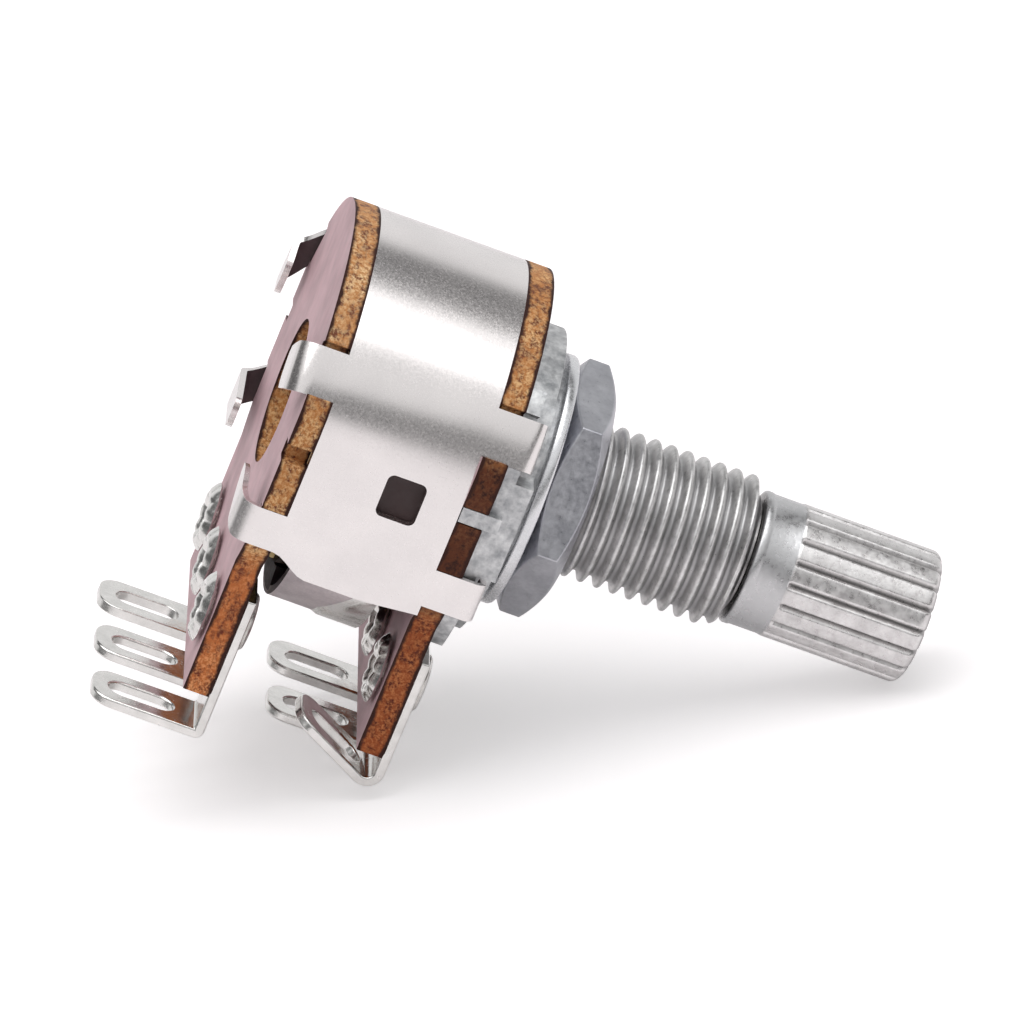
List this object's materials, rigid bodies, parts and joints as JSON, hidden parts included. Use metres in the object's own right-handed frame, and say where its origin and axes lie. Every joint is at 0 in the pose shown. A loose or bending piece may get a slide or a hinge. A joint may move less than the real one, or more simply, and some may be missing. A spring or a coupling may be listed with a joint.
{
  "type": "dual gang rotary potentiometer",
  "caption": "Small dual-gang rotary potentiometer with a knurled shaft, threaded bushing, nut and washer, tabbed steel case and two rows of solder lugs.",
  "frame": {"origin": "middle of the panel seat, the small round boss in front of the cast base, on the shaft axis", "axes": "+X along the shaft towards its tip, +Z away from the solder lugs, +Y completes the frame; metres"},
  "size_m": [0.0333, 0.0168, 0.0225],
  "materials": {
    "zinc_cast": "die-cast, fine speckle, dull",
    "nut_steel": "dull bluish plating",
    "washer_steel": "bright stamped",
    "shaft_metal": "satin, turned and knurled",
    "tin_case": "tin plated, soft frosted patches",
    "lug_tin": "bright tin",
    "rivet_tin": "bright tin, rolled",
    "fibre_board": "pressed brown fibre, painted mauve on its rear face",
    "carbon_film": "printed carbon",
    "silver_film": "printed silver",
    "rotor_plastic": "moulded, dark",
    "separator_plastic": "moulded, dark purple brown",
    "spring_brass": "thin spring sheet",
    "clip_steel": "spring steel"
  },
  "bodies": {
    "housing": {"bushing_base": "zinc_cast", "flat_washer": "washer_steel", "hex_nut": "nut_steel", "case": "tin_case", "front_wafer": "fibre_board", "rear_wafer": "fibre_board", "front_track": "carbon_film", "rear_track": "carbon_film", "front_collector": "silver_film", "rear_collector": "silver_film", "front_lug_1": "lug_tin", "front_lug_2": "lug_tin", "front_lug_3": "lug_tin", "rear_lug_1": "lug_tin", "rear_lug_2": "lug_tin", "rear_lug_3": "lug_tin", "front_rivet_1": "rivet_tin", "front_rivet_2": "rivet_tin", "front_rivet_3": "rivet_tin", "rear_rivet_1": "rivet_tin", "rear_rivet_2": "rivet_tin", "rear_rivet_3": "rivet_tin", "separator": "separator_plastic", "strap": "tin_case"},
    "spindle": {"shaft": "shaft_metal", "retaining_clip": "clip_steel", "front_rotor": "rotor_plastic", "rear_rotor": "rotor_plastic", "front_wiper": "spring_brass", "rear_wiper": "spring_brass"}
  },
  "joints": [
    {"name": "shaft_turn", "type": "hinge", "parent": "housing", "child": "spindle", "pos_m": [0, 0, 0], "axis": [1, 0, 0], "range_deg": [-150, 150]}
  ]
}
